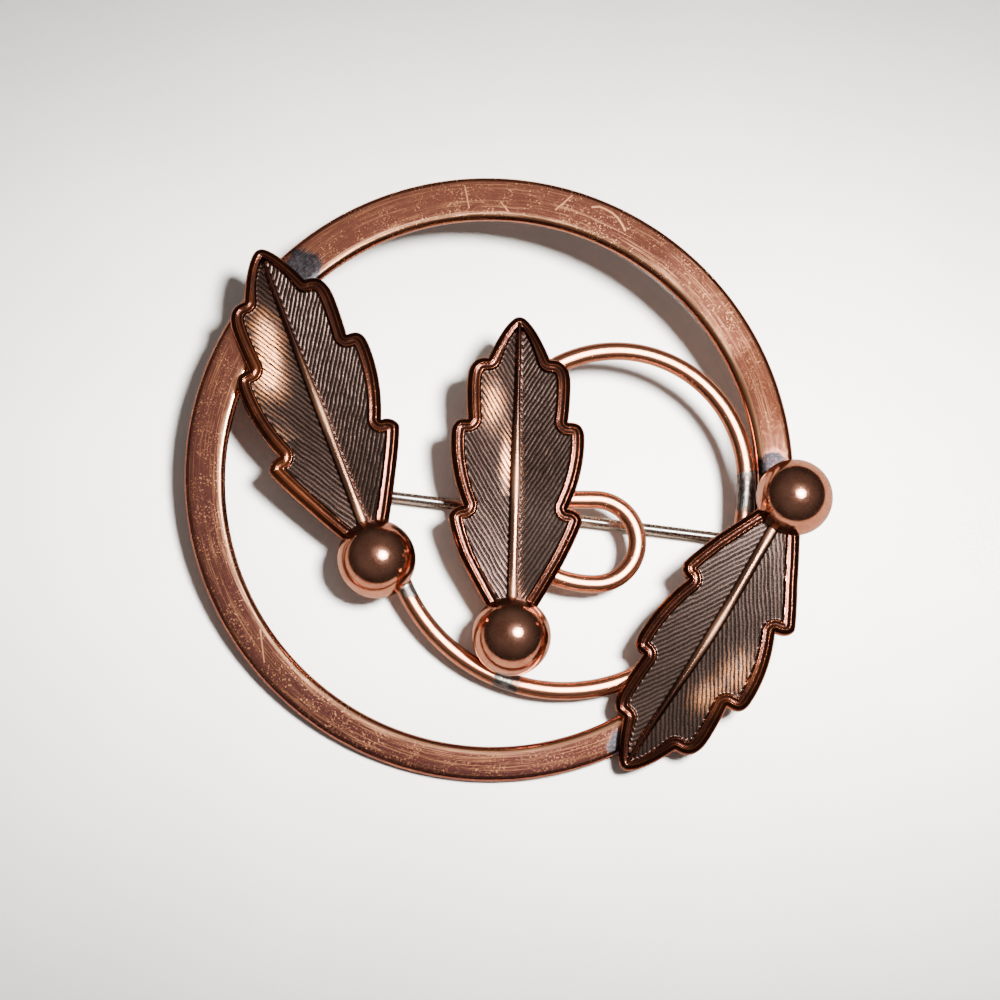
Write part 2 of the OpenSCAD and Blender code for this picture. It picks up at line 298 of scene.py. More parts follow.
# painted pool of light: the paper's colour is brightest a little right of the middle and fades
# outwards, to an even pale far away
away = recipe.distance(recipe.scaled(place, FADE_PER_M), (0.150, 0.0, 0))
painted_pool = recipe.math("EXPONENT", recipe.times(recipe.math("POWER", away, 2.0), -1.0))
lit = recipe.plus(recipe.times(painted_pool, 0.84), 0.08)
lit = recipe.times(lit, recipe.curve(cloudy, 0.3, 0.75, 0.97, 1.03))
lit = recipe.most(lit, recipe.curve(recipe.distance(place), 0.066, 0.16, 0.0, 0.88))
direct = out(add(recipe.tree, "ShaderNodeLightPath"), "Is Camera Ray")
shade = recipe.mix(direct, PAPER_FOR_COPPER, recipe.scaled(lit, (1.0, 1.0, 0.98)))
matt = add(recipe.tree, "ShaderNodeBsdfDiffuse",
           {"Color": shade, "Normal": recipe.bump(fibres, 0.00003, 0.4)})
from_below = out(add(recipe.tree, "ShaderNodeNewGeometry"), "Backfacing")
sheet_or_gap = add(recipe.tree, "ShaderNodeMixShader", {
    0: recipe.times(direct, from_below), 1: out(matt),
    2: out(add(recipe.tree, "ShaderNodeBsdfTransparent"))})
add(recipe.tree, "ShaderNodeOutputMaterial", {"Surface": out(sheet_or_gap)})
paper.data.materials.append(recipe.material)

receivers = {}
for name, power, size, way, blue in LAMPS:
    lamp_data = bpy.data.lights.new(name, "AREA")
    lamp_data.shape = "DISK"
    lamp_data.size = size
    lamp_data.energy = power
    lamp_data.color = (1.0, 0.96, blue)
    lamp = new_object(name, lamp_data)
    lamp.location = way * LAMP_AWAY
    lamp.rotation_euler = way.to_track_quat("Z", "Y").to_euler()
    if name != "lamp":
        receivers[name] = bpy.data.collections.new(name + "_lights")
        lamp.light_linking.receiver_collection = receivers[name]
for name in ("lamp_for_paper", "glow_for_paper"):
    receivers[name].objects.link(paper)

room = bpy.data.worlds.new("room")
bpy.context.scene.world = room
room.use_nodes = True
around = room.node_tree
background = around.nodes["Background"]
view = out(add(around, "ShaderNodeTexCoord"), "Generated")
split = add(around, "ShaderNodeSeparateXYZ", {0: view})
height = add(around, "ShaderNodeMapRange", {"Value": out(split, "Z"), "From Min": 0.0,
             "From Max": 0.8, "To Min": 0.25, "To Max": 1.0}, interpolation_type="SMOOTHSTEP")
off = out(add(around, "ShaderNodeVectorMath", {0: view, 1: CEILING_WAY}, operation="DISTANCE"),
          "Value")
ceiling = add(around, "ShaderNodeMapRange", {"Value": off, "From Min": 0.08,
              "From Max": 0.46, "To Min": 0.52, "To Max": 0.13}, interpolation_type="SMOOTHSTEP")
level = add(around, "ShaderNodeMath", {0: out(height), 1: out(ceiling)}, operation="MULTIPLY")
seen = out(add(around, "ShaderNodeLightPath"), "Is Camera Ray")
strength = add(around, "ShaderNodeMix", {0: seen, 2: out(level), 3: 0.6}, data_type="FLOAT")
tint = add(around, "ShaderNodeMix", {0: seen, 6: (1.0, 0.88, 0.80, 1),
           7: (1.0, 0.99, 0.97, 1)}, data_type="RGBA")
around.links.new(out(strength), background.inputs["Strength"])
around.links.new(out(tint, 2), background.inputs["Color"])
print(len(LAMPS), "lamps,", round(1000 * LAMP_AWAY), "mm away; paper",
      round(2 * PAPER_REACH, 2), "m wide")

# %% [markdown]
# ## From a drawing to a piece
#
# A mesh starts as numbers on the flat drawing. `make_mesh` turns them into an object,
# still in millimetres, so modifiers can work at that easy size. `lay_down` then stores
# `plan`, lays the points on the table in metres, gives the piece its material, hangs it
# under its body and hides the CAD node that it stands for.

# %% Helpers that turn points into pieces
def make_mesh(name, points, faces):
    mesh = bpy.data.meshes.new(name)
    mesh.from_pydata([tuple(p) for p in points], [], [tuple(f) for f in faces])
    mesh.validate()
    piece = new_object(name, mesh)
    return piece


def store(piece, name, values, kind="FLOAT"):
    values = np.asarray(values, np.float32)
    field = "vector" if kind == "FLOAT_VECTOR" else "value"
    piece.data.attributes.new(name, kind, "POINT").data.foreach_set(field, values.ravel())


def points_of(piece):
    points = np.empty(len(piece.data.vertices) * 3)
    piece.data.vertices.foreach_get("co", points)
    return points.reshape(-1, 3)


def bake(piece):
    """Replaces the piece's mesh by what its modifiers make of it, and removes them."""
    held = bpy.context.evaluated_depsgraph_get()
    mesh = bpy.data.meshes.new_from_object(piece.evaluated_get(held))
    piece.modifiers.clear()
    old, piece.data = piece.data, mesh
    bpy.data.meshes.remove(old)


def cut_ball(piece, centre, radius):
    """Cuts a ball-shaped seat out of a piece, so that two solids never cross."""
    tool_mesh = bpy.data.meshes.new("seat")
    shape = bmesh.new()
    bmesh.ops.create_icosphere(shape, subdivisions=5, radius=radius,
                               matrix=Matrix.Translation(Vector(centre)))
    shape.to_mesh(tool_mesh)
    shape.free()
    tool = new_object("seat", tool_mesh)
    cut = piece.modifiers.new("seat", "BOOLEAN")
    cut.operation, cut.object, cut.solver = "DIFFERENCE", tool, "EXACT"
    bake(piece)
    bpy.data.objects.remove(tool)


def smooth(piece, angle=40):
    piece.data.shade_smooth()
    piece.data.set_sharp_from_angle(angle=math.radians(angle))


def lay_down(piece, material, node, body="brooch"):
    points = points_of(piece)
    store(piece, "plan", points, "FLOAT_VECTOR")
    if "drawn" in piece.data.attributes:
        ways = np.empty(3 * len(points))
        piece.data.attributes["drawn"].data.foreach_get("vector", ways)
        ways = (ways.reshape(-1, 3) @ tilt.T).ravel()
        piece.data.attributes["drawn"].data.foreach_set("vector", ways)
    piece.data.vertices.foreach_set("co", lay(points).ravel())
    piece.data.materials.clear()
    piece.data.materials.append(material)
    piece.data.update()
    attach(piece, body)
    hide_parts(node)
    size = np.ptp(points, axis=0)
    print(f"{piece.name}: {len(piece.data.polygons)} faces, {size[0]:.1f} x {size[1]:.1f}"
          f" x {size[2]:.1f} mm")


# %% [markdown]
# ## The ring
#
# The real ring is a flat band stamped from sheet, so its hole is a touch off centre and
# the band is widest at the top left. Its edges are rounded by polishing, and the round
# inner edge is what catches the lamp as a nearly white line. A disc with a hole from the
# toolbar would have sharp edges, so the band is swept: one cross-section, drawn again at
# 720 angles, each time from the hole's edge to the ring's.
#
# The finish is brushed copper gone brown in places, with painted shade that darkens it
# towards the lower left, away from the lamp, and a deeper orange painted on the right,
# where the lamp's glare falls. Hair-fine lines run round the band, so their noise is
# stretched along the ring and squeezed across it. Flecks, scratches and a few long strokes
# are fresh metal, brighter and less smooth than the brown skin. Along the rounded inner
# edge lies a painted highlight of bright copper. The face falls off a little towards the
# hole, and soldering left grey stains next to the leaves' tips and the ball, painted
# darker still near the lamp's mirrored spot.

# %% Ring: the band
HOLE = np.array([0.12, -0.42])
HOLE_R = 24.85
TURNS = 720
FALL, FALL_W = 0.12, 1.2


def corner(at, radius, start, end, steps=8):
    angles = np.radians(np.linspace(start, end, steps + 1))
    return [(at[0] + radius * math.cos(a), at[1] + radius * math.sin(a)) for a in angles]


def hole_edge(angle):
    way = np.array([math.cos(angle), math.sin(angle)])
    along = float(way @ HOLE)
    return along + math.sqrt(HOLE_R**2 - float(HOLE @ HOLE) + along**2)


points, sweep, inset = [], [], []
half_t = RING_T / 2
for i in range(TURNS):
    angle = 2 * math.pi * i / TURNS
    inner, outer = hole_edge(angle), RING_R
    edge = RING_EDGE
    flat = outer - inner - 2 * edge
    line = (corner((inner + edge, half_t - edge), edge, 180, 90)
            + [(inner + edge + flat * t, half_t) for t in (0.07, 0.15, 0.25, 0.5, 0.75)]
            + corner((outer - edge, half_t - edge), edge, 90, 0)
            + corner((outer - edge, edge - half_t), edge, 0, -90)
            + [(outer - edge - flat * t, -half_t) for t in (0.25, 0.5, 0.75)]
            + corner((inner + edge, edge - half_t), edge, -90, -180))
    for r, z in line:
        if z > 0:
            z -= FALL * max(0, 1 - (r - inner) / FALL_W)**2
        points.append((r * math.cos(angle), r * math.sin(angle), z))
        sweep.append((3 * math.cos(angle), 3 * math.sin(angle), r))
        inset.append(r - inner)
profile = len(line)
faces = [(i * profile + k, i * profile + (k + 1) % profile,
          (i + 1) % TURNS * profile + (k + 1) % profile, (i + 1) % TURNS * profile + k)
         for i in range(TURNS) for k in range(profile)]
ring = make_mesh("ring_band", points, faces)
store(ring, "sweep", sweep, "FLOAT_VECTOR")
store(ring, "inset", inset)
cut_ball(ring, BALL_RIGHT, 3.58)
smooth(ring, 60)

# %% Ring: brushed copper
STROKES = (
    (((9.6, 25.7), (10.3, 25.75), (10.9, 25.5), (11.5, 25.15), (12.0, 24.7), (12.4, 24.1),
      (12.7, 23.5)), 0.15), (((-2.5, 27.6), (-2.1, 25.5)), 0.1),
    (((6.1, 25.4), (7.7, 26.8)), 0.1), (((-9.5, 26.5), (-8.6, 27.2)), 0.09),
    (((0.9, 26.1), (1.6, 25.2)), 0.08), (((-21.3, -14.6), (-20.9, -17.6)), 0.1))
LAMP_MIRRORED = (30.6, -9.1, 0.7)

recipe = Recipe("brushed_copper")
sweep_at = recipe.attribute("sweep", "Vector")
lines = recipe.noise(recipe.scaled(sweep_at, (1.7, 1.7, 11)), 1.0, 4.0, 0.7)
broad = recipe.noise(recipe.scaled(sweep_at, (0.8, 0.8, 2.0)), 1.0, 3.0, 0.5)
grain = recipe.noise(recipe.plan, 4.5, 4.0, 0.75)
glare = recipe.distance(recipe.plan, LAMP_MIRRORED)
patina = recipe.noise(recipe.plan, 0.16, 3.0, 0.5)
split = add(recipe.tree, "ShaderNodeSeparateXYZ", {0: recipe.plan})
# painted shade: the brown patina's share grows towards the lower left, away from the lamp
shade_to_lower_left = recipe.plus(recipe.times(out(split, "X"), -0.013), recipe.times(out(split, "Y"), -0.013))
patina_and_shade = recipe.curve(recipe.plus(patina, shade_to_lower_left), 0.25, 0.95)
fresh = recipe.spot((-14.4, 21.6, 0.7), 2.8, 0.8)
patina_and_shade = recipe.math("SUBTRACT", patina_and_shade, recipe.times(fresh, 0.6), clamp=True)
scored = recipe.curve(recipe.plus(lines, recipe.times(broad, 0.4)), 0.70, 0.86)
patchy = recipe.curve(recipe.noise(recipe.plan, 0.7, 3.0, 0.6), 0.40, 0.58, 0.15, 1.0)
flecks = recipe.times(recipe.curve(grain, 0.55, 0.62), patchy)
crossed = recipe.times(recipe.most(recipe.hairs(25, 0.7, 9, 0.66, 0.74),
                                   recipe.hairs(-40, 0.8, 10, 0.66, 0.74),
                                   recipe.hairs(75, 0.9, 9, 0.68, 0.75)), 0.6)
strokes = [recipe.stroke(places, width) for places, width in STROKES]
marks = recipe.most(recipe.times(scored, 0.7), flecks, crossed, *strokes)
colour = recipe.mix(patina_and_shade, (0.52, 0.195, 0.14), (0.37, 0.14, 0.13))
# painted shade: the right side, where the lamp's glare falls, is coloured a deeper, darker orange
colour = recipe.mix(recipe.curve(out(split, "X"), 15, 28, 0.0, 0.75), colour, (0.50, 0.17, 0.10))
colour = recipe.mix(recipe.times(recipe.curve(broad, 0.42, 0.62), 0.35), colour,
                    (0.30, 0.115, 0.10))
# a polished edge and a painted highlight: bright copper along the rounded inner edge, where the
# lamp catches it
edge_polish_and_glint = recipe.times(recipe.band(recipe.attribute("inset"), 0.54, 0.34),
                      recipe.curve(lines, 0.35, 0.6, 0.6, 1.0))
colour = recipe.mix(marks, colour, (1.0, 0.46, 0.22))
colour = recipe.mix(edge_polish_and_glint, colour, (1.0, 0.49, 0.27))
stain = recipe.most(recipe.spot((-17.6, 19.7, 0.7), 2.3, 0.7),
                    recipe.spot((26.5, 0.9, 0.7), 2.0, 0.5),
                    recipe.spot((12.2, -25.0, 0.7), 1.9, 0.7))
solder = recipe.mix(recipe.curve(recipe.noise(recipe.plan, 2.6, 4.0, 0.7), 0.42, 0.62),
                    (0.05, 0.05, 0.06), (0.115, 0.113, 0.13))
# painted shade: the solder turns nearly black close to the lamp's mirrored spot
solder = recipe.mix(recipe.curve(glare, 26, 12), solder, (0.016, 0.017, 0.022))
covered = recipe.times(stain, recipe.curve(grain, 0.36, 0.5, 0.85, 1.0))
colour = recipe.mix(covered, colour, solder)
reach = recipe.plus(glare, recipe.times(out(split, "Y"), 0.3))
rough = recipe.plus(recipe.times(recipe.curve(patina, 0.3, 0.7, 0.10, 0.13),
                                 recipe.curve(glare, 12, 32, 0.6, 1.0)),
                    recipe.times(marks, recipe.curve(reach, 18, 46, 0.04, 0.19)),
                    recipe.times(recipe.spot((20.8, 16.8, 0.7), 6, 0.3), 0.035),
                    recipe.times(edge_polish_and_glint, 0.02), recipe.times(stain, 0.12))
normal = recipe.bump(recipe.plus(lines, recipe.times(grain, 0.6)), 0.000006, 0.7)
brushed = recipe.finish(Base_Color=colour, Metallic=1.0, Roughness=rough, Normal=normal)
lay_down(ring, brushed, "ring")

# %% [markdown]
# ## The vine
#
# A single round wire, bent five times without a kink: it leaves the left ball, sweeps
# under the middle ball, climbs inside the ring, turns over the top, dives behind the
# middle leaf and ends in a small curl. A piece that follows a path is best made by
# Geometry Nodes: the path is a plain row of points, and the tree sweeps a circle along
# it. Its wire radius is a named input, so a thinner vine is one number away. The tree
# also notes the wire's direction and the length so far, because drawing marks run along
# a wire and its sheen spreads across it.

# %% Vine: the path, from the drawing's bends
WIRE_R = 0.85
BENDS = [(16.2, 325.6), (22.35, 361.7), (12.1, 546.3), (9.75, 631.5), (3.97, 810), (200, 811)]
path, middle_at, start = [], np.array([6.77, -3.9]), 199.0
for i, (radius, end) in enumerate(BENDS):
    steps = max(4, int(math.radians(end - start) * radius / 0.16))
    for step in range(steps + (i == len(BENDS) - 1)):
        angle = math.radians(start + (end - start) * step / steps)
        path.append((*(middle_at + radius * np.array([math.cos(angle), math.sin(angle)])), 0))
    if i + 1 < len(BENDS):
        way = np.array([math.cos(math.radians(end)), math.sin(math.radians(end))])
        middle_at = middle_at + (radius - BENDS[i + 1][0]) * way
        start = end
length = sum(np.linalg.norm(np.subtract(b, a)) for a, b in zip(path, path[1:]))
print(f"vine: {length:.0f} mm of wire, {2 * WIRE_R:.2f} mm thick, {len(path)} points")

# %% Geometry Nodes: a tree with named inputs, and how one is applied
def new_tree(name, **kinds):
    tree = bpy.data.node_groups.new(name, "GeometryNodeTree")
    face = tree.interface
    face.new_socket("Geometry", in_out="INPUT", socket_type="NodeSocketGeometry")
    for label, kind in kinds.items():
        face.new_socket(label, in_out="INPUT", socket_type=f"NodeSocket{kind}")
    face.new_socket("Geometry", in_out="OUTPUT", socket_type="NodeSocketGeometry")
    return tree, tree.nodes.new("NodeGroupInput")


def end_tree(tree, given, geometry):
    real = add(tree, "GeometryNodeRealizeInstances", {"Geometry": geometry})
    coat = add(tree, "GeometryNodeSetMaterial", {"Geometry": out(real),
               "Material": given.outputs["Material"]})
    add(tree, "NodeGroupOutput", {"Geometry": out(coat)})


def apply_tree(piece, tree, **values):
    """Runs the tree on a piece with these inputs, and keeps the result as a plain mesh."""
    modifier = piece.modifiers.new(tree.name, "NODES")
    modifier.node_group = tree
    for item in tree.interface.items_tree:
        if item.in_out == "INPUT" and item.name in values:
            modifier[item.identifier] = values[item.name]
    bake(piece)


# %% Vine: sweep the wire
sweeper, given = new_tree("sweep_wire", Radius="Float", Sides="Int", Material="Material")
as_curve = add(sweeper, "GeometryNodeMeshToCurve", {"Mesh": given.outputs["Geometry"]})
marked = add(sweeper, "GeometryNodeStoreNamedAttribute", {"Geometry": out(as_curve),
             "Name": "drawn", "Value": out(add(sweeper, "GeometryNodeInputTangent"))},
             data_type="FLOAT_VECTOR", domain="POINT")
run = add(sweeper, "GeometryNodeSplineParameter")
marked = add(sweeper, "GeometryNodeStoreNamedAttribute", {"Geometry": out(marked),
             "Name": "along", "Value": run.outputs["Length"]}, domain="POINT")
circle = add(sweeper, "GeometryNodeCurvePrimitiveCircle",
             {"Resolution": given.outputs["Sides"], "Radius": given.outputs["Radius"]})
wire = add(sweeper, "GeometryNodeCurveToMesh", {"Curve": out(marked), "Profile Curve": out(circle),
           "Fill Caps": True})
end_tree(sweeper, given, out(wire))

recipe = Recipe("drawn_copper")
split = add(recipe.tree, "ShaderNodeSeparateXYZ", {0: recipe.plan})
lengthwise = out(add(recipe.tree, "ShaderNodeCombineXYZ", {
    "X": recipe.times(recipe.attribute("along"), 0.5), "Y": out(split, "Z")}))
drawn = recipe.noise(recipe.scaled(lengthwise, (1, 9, 1)), 1.0, 4.0, 0.7)
cloud = recipe.noise(recipe.plan, 0.5, 3.0)
colour = recipe.mix(recipe.curve(cloud, 0.35, 0.7), (0.86, 0.39, 0.25), (0.64, 0.27, 0.18))
stain = recipe.most(recipe.spot((24.3, -1.5, 0.4), 2.6, 0.6),
                    recipe.spot((1.4, -19.2, 0.4), 1.7, 0.6),
                    recipe.spot((-7.6, -10.9, 0.4), 1.0, 0.6))
streaks = recipe.noise(recipe.scaled(lengthwise, (1.6, 7, 1)), 1.0, 4.0, 0.7)
solder = recipe.mix(recipe.curve(streaks, 0.40, 0.62), (0.035, 0.038, 0.05), (0.34, 0.33, 0.36))
covered = recipe.times(stain, recipe.curve(streaks, 0.3, 0.45, 0.6, 1.0))
colour = recipe.mix(covered, colour, solder)
rough = recipe.plus(recipe.curve(cloud, 0.3, 0.7, 0.17, 0.215), recipe.times(stain, 0.12))
drawn_copper = recipe.finish(Base_Color=colour, Metallic=1.0, Roughness=rough, Anisotropic=0.4,
                             Anisotropic_Rotation=0.25,
                             Tangent=recipe.attribute("drawn", "Vector"),
                             Normal=recipe.bump(drawn, 0.000006, 0.6))

line = bpy.data.meshes.new("vine_wire")
line.from_pydata(path, [(i, i + 1) for i in range(len(path) - 1)], [])
vine = new_object("vine_wire", line)
apply_tree(vine, sweeper, Radius=WIRE_R, Sides=36, Material=drawn_copper)
BALL_LEFT = np.array([-10.65, -8.1, 1.7])
cut_ball(vine, BALL_LEFT, 3.68)
smooth(vine, 50)
lay_down(vine, drawn_copper, "vine")
receivers["lamp_for_wire"].objects.link(vine)

# %% [markdown]
# ## The balls
#
# Each ball is a polished copper bead. A perfect sphere looks drawn, not made: real beads
# are pressed from two cups, so their reflections wobble a little and their polish has
# fine swirls and a few pits. The mesh is an even icosphere, moved in or out by hundredths
# of a millimetre with slow noise, which bends the reflections as the real ones do.

# %% Balls: mirror copper
recipe = Recipe("mirror_copper")
smudge = recipe.noise(recipe.plan, 0.8, 4.0, 0.6)
swirl = recipe.noise(recipe.plan, 3.0, 4.0, 0.7, 1.2)
haze = recipe.curve(recipe.noise(recipe.plan, 40.0, 2.0, 0.6), 0.56, 0.62)
pits = recipe.curve(recipe.noise(recipe.plan, 7.0, 2.0, 0.5), 0.70, 0.78)
colour = recipe.mix(recipe.curve(smudge, 0.35, 0.7), (0.90, 0.45, 0.31), (0.68, 0.30, 0.21))
rough = recipe.plus(recipe.curve(smudge, 0.35, 0.75, 0.05, 0.09),
                    recipe.most(recipe.times(haze, 0.21), recipe.times(pits, 0.3)))
mirror = recipe.finish(Base_Color=colour, Metallic=1.0, Roughness=rough,
                       Normal=recipe.bump(swirl, 0.000010, 0.6))

# %% Balls: three beads that are not quite round
def waves(points, seed, scale, count=5):
    """A slow, seeded swell over the points, between about -1 and 1."""
    dice = random.Random(seed)
    total = np.zeros(len(points))
    for _ in range(count):
        way = np.array([dice.gauss(0, 1) for _ in range(3)])
        total += np.sin(points @ (way * scale) + dice.uniform(0, 6.28))
    return total / count


BALLS = {"ball_left": (BALL_LEFT, 3.65), "ball_middle": (np.array([1.79, -15.25, 2.45]), 3.65),
         "ball_right": (BALL_RIGHT, 3.55)}
for number, (name, (centre, radius)) in enumerate(BALLS.items()):
    shape = bmesh.new()
    bmesh.ops.create_icosphere(shape, subdivisions=5, radius=1)
    mesh = bpy.data.meshes.new(name + "_bead")
    shape.to_mesh(mesh)
    shape.free()
    bead = new_object(name + "_bead", mesh)
    unit = points_of(bead)
    swell = 1 - 0.0035 * (1 + waves(unit, 40 + number, 2.2)) / 2
    mesh.vertices.foreach_set("co", (centre + unit * (radius * swell)[:, None]).ravel())
    smooth(bead, 180)
    lay_down(bead, mirror, name)
    receivers["lamp_for_balls"].objects.link(bead)

# %% [markdown]
# ## The leaves
#
# The three leaves come from one die: a toothed outline, a smooth raised rim that follows
# every tooth, a midrib, and between them sunken fields engraved with fine lines that run
# forward from the midrib. The lines are real grooves here, not a picture: they glitter
# because each wall faces its own way.
#
# Each tooth is a side that swells and then a corner that drops to the next tooth's start.
# The corner is a quarter of a superellipse, so one number says how square it is. A grid
# stretched row by row would shear at every notch, so the blank is cut from an even sheet
# of points instead, and a triangulation fills the outline up to its edge.

# %% Leaves: the outline, tooth by tooth
LEAF_LEN = 30.0
TEETH = [((1.8, 1.8), (10.8, 6.4), 1.15, (1.9, 1.9)), ((11.95, 5.03), (18.2, 6.45), 2, (3, 3)),
         ((20.1, 4.85), (23.3, 5.02), 2, (2.6, 2.6)), ((26, 3), (26, 3), 1, (1, 1.6))]
TIP = (30.0, 0.15)
FOOT_IN = 2.0
MIDDLE_BALL = BALLS["ball_middle"][0]
SPRIGS = {
    "leaf_left": dict(ball=BALL_LEFT, size=3.65, heading=111.05, back=0.73, slide=0.1,
                      longer=1.1, shares=((0.985, 1), (0.985, 1)), raised=0, lowered=0),
    "leaf_middle": dict(ball=MIDDLE_BALL, size=3.65, heading=88.4, back=0.88, slide=0.1,
                        longer=0, shares=((1.04, 0.95), (1.01, 0.985)), raised=0, lowered=0),
    "leaf_right": dict(ball=BALL_RIGHT, size=3.55, heading=237.7, back=0.79, slide=-0.45,
                       longer=0, shares=((1, 1.05), (0.85, 0.82)), raised=4, lowered=4),
}


def half_outline(sprig, side):
    """Half of a leaf's edge: places along the leaf and half widths, from foot to tip."""
    line = [TEETH[0][0]]
    ends = [tooth[0] for tooth in TEETH[1:]] + [TIP]
    for (start, corner, swell, square), end in zip(TEETH, ends):
        for t in np.arange(0.25, corner[0] - start[0], 0.25) / max(corner[0] - start[0], 1):
            line.append((start[0] + (corner[0] - start[0]) * t,
                         start[1] + (corner[1] - start[1]) * (1 - (1 - t)**swell)))
        for a in np.radians(np.linspace(0, 90, 15)):
            over, down = math.sin(a)**(2 / square[0]), 1 - max(math.cos(a), 0)**(2 / square[1])
            line.append((corner[0] + (end[0] - corner[0]) * over,
                         corner[1] + (end[1] - corner[1]) * down))
    line = np.array(line)
    line = line[np.append(True, np.diff(line[:, 0]) > 0.004)]
    line[:, 1] *= np.interp(line[:, 0], [7, 11], sprig["shares"][side])
    line[:, 0] += sprig["longer"] * np.maximum(0, (line[:, 0] - 12) / (LEAF_LEN - 12))
    foot = FOOT_IN - sprig["slide"]
    kept = line[line[:, 0] > foot + 0.07]
    return np.vstack([[foot, np.interp(foot, line[:, 0], line[:, 1])], kept])


def distance_to(points, line):
    """Distance of each point to a line of straight stretches."""
    best = np.full(len(points), 1e9)
    for a, b in zip(line, line[1:]):
        way = b - a
        t = np.clip(((points - a) @ way) / (way @ way), 0, 1)
        best = np.minimum(best, np.linalg.norm(points - a - t[:, None] * way, axis=1))
    return best


def step_up(x, low, high):
    t = np.clip((x - low) / (high - low), 0, 1)
    return t * t * (3 - 2 * t)


for name, sprig in SPRIGS.items():
    halves = [half_outline(sprig, side) for side in (0, 1)]
    print(name, "outline:", sum(len(half) for half in halves), "points, widest",
          round(halves[0][:, 1].max() + halves[1][:, 1].max(), 2), "mm, tip at", halves[0][-1, 0])

# %% [markdown]
# The height of a point comes from its distance to the outline, measured in the drawing,
# so the rim keeps its width round the teeth. From the edge inwards: a rounded shoulder, a
# thin raised line, a flat band, a wall down to the field. The field's floor rises or falls
# a little from the midrib to the rim, which decides where the lamp makes it flash.

# %% Leaves: the relief
RIM_W, RIM_H, ARCH = 1.25, 1.15, 0.45
RIB_W, RIB_H = 0.72, 1.3


def relief(x, y, edge, floor):
    """Height over the flat back, the engraved field's share and the midrib's."""
    rim_w = RIM_W - 0.3 * step_up(y, 24.5, 28.5)
    rib = RIB_W / 2 * (1 - 0.45 * step_up(y, 15, 24)) * step_up(y, 30.5, 27.5)
    away = np.abs(x)
    rise = np.where(x < 0, floor[0], floor[1])
    ground = 0.78 - 2.2 * rise + rise * np.minimum(away, 5.5) + 0.1 * step_up(y, 22, 28)
    rim = RIM_H - 0.30 * np.clip(1 - edge / 0.5, 0, 1)**1.5
    rim -= 0.12 * np.clip(1 - edge / 0.14, 0, 1)**2
    rim += 0.04 * np.exp(-(((edge - 0.52) / 0.06)**2)) - 0.04 * np.exp(-(((edge - 0.85) / 0.2)**2))
    on_field = step_up(edge, rim_w - 0.1, rim_w + 0.08)
    on_rib = step_up(away, rib + 0.14, rib) * np.where(rib > 0.02, 1, 0)
    crest = RIB_H - 0.08 * np.clip(away / np.maximum(rib, 0.05), 0, 1.4)**2
    height = rim + (ground - rim) * on_field
    height = height + (np.maximum(crest, height) - height) * on_rib * step_up(edge, 0.5, 0.9)
    height = height + ARCH * (1 - ((y - LEAF_LEN / 2) / (LEAF_LEN / 2))**2)
    engraved = step_up(edge, rim_w - 0.05, rim_w + 0.12) * step_up(away, rib + 0.03, rib + 0.2)
    return height, engraved, on_rib


# %% [markdown]
# The engraving tree reads three attributes of the blank: `lane` (how far a point is from
# the leaf's foot, counted across lines that lean forward), `cut` (how deep the field is
# engraved: 1 in the fields, 0 on rim and rib) and `sheen_patch`. Each lane gets its own
# depth from a seeded random value, as a hand-cut die has, and a slow noise makes the
# lines waver. Within the patches of painted highlight the lines are thinner and
# shallower. The tree notes the lane count for the finish.

# %% Leaves: the engraving tree
engraver, given = new_tree("engrave_leaf", Pitch="Float", Depth="Float", Groove="Float",
                           Waver="Float", Seed="Int", Material="Material")


def gmath(operation, a, b=0.0, clamp=False):
    return out(add(engraver, "ShaderNodeMath", {0: a, 1: b}, operation=operation, use_clamp=clamp))


def gread(name):
    return out(add(engraver, "GeometryNodeInputNamedAttribute", {"Name": name}))


def gstore(geometry, name, value):
    return out(add(engraver, "GeometryNodeStoreNamedAttribute",
                   {"Geometry": geometry, "Name": name, "Value": value}, domain="POINT"))


where = out(add(engraver, "GeometryNodeInputPosition"))
slow = out(add(engraver, "ShaderNodeTexNoise", {"Vector": where, "Scale": 0.5, "Detail": 2.0}))
fine = out(add(engraver, "ShaderNodeTexNoise", {"Vector": where, "Scale": 3.2, "Detail": 2.0}))
lanes = gmath("DIVIDE", gread("lane"), given.outputs["Pitch"])
lanes = gmath("ADD", lanes, gmath("MULTIPLY", slow, given.outputs["Waver"]))
dice = add(engraver, "FunctionNodeRandomValue", {"Seed": given.outputs["Seed"]}, data_type="FLOAT")
engraver.links.new(gmath("FLOOR", lanes), dice.inputs["ID"])
luck = gmath("ADD", gmath("MULTIPLY", out(dice, 1), 0.5), 0.5)
off_centre = gmath("ABSOLUTE", gmath("SUBTRACT", gmath("FRACT", lanes), 0.5))
width = gmath("SUBTRACT", 0.5, gmath("MULTIPLY", gread("sheen_patch"), 0.22))
slot_wall = gmath("DIVIDE", off_centre, gmath("MULTIPLY", given.outputs["Groove"], width))
valley = gmath("SUBTRACT", 1.0, slot_wall, True)
valley = gmath("SMOOTH_MIN", gmath("MULTIPLY", valley, 1.25), 1.0)
chatter = gmath("ADD", 0.65, gmath("MULTIPLY", fine, 0.7))
deep = gmath("MULTIPLY", gmath("MULTIPLY", valley, luck), gmath("MULTIPLY", chatter, gread("cut")))
drop = gmath("MULTIPLY", deep, gmath("MULTIPLY", given.outputs["Depth"], -1.0))
shift = out(add(engraver, "ShaderNodeCombineXYZ", {"Z": drop}))
moved = add(engraver, "GeometryNodeSetPosition", {"Geometry": given.outputs["Geometry"],
            "Offset": shift})
end_tree(engraver, given, gstore(out(moved), "lanes", lanes))

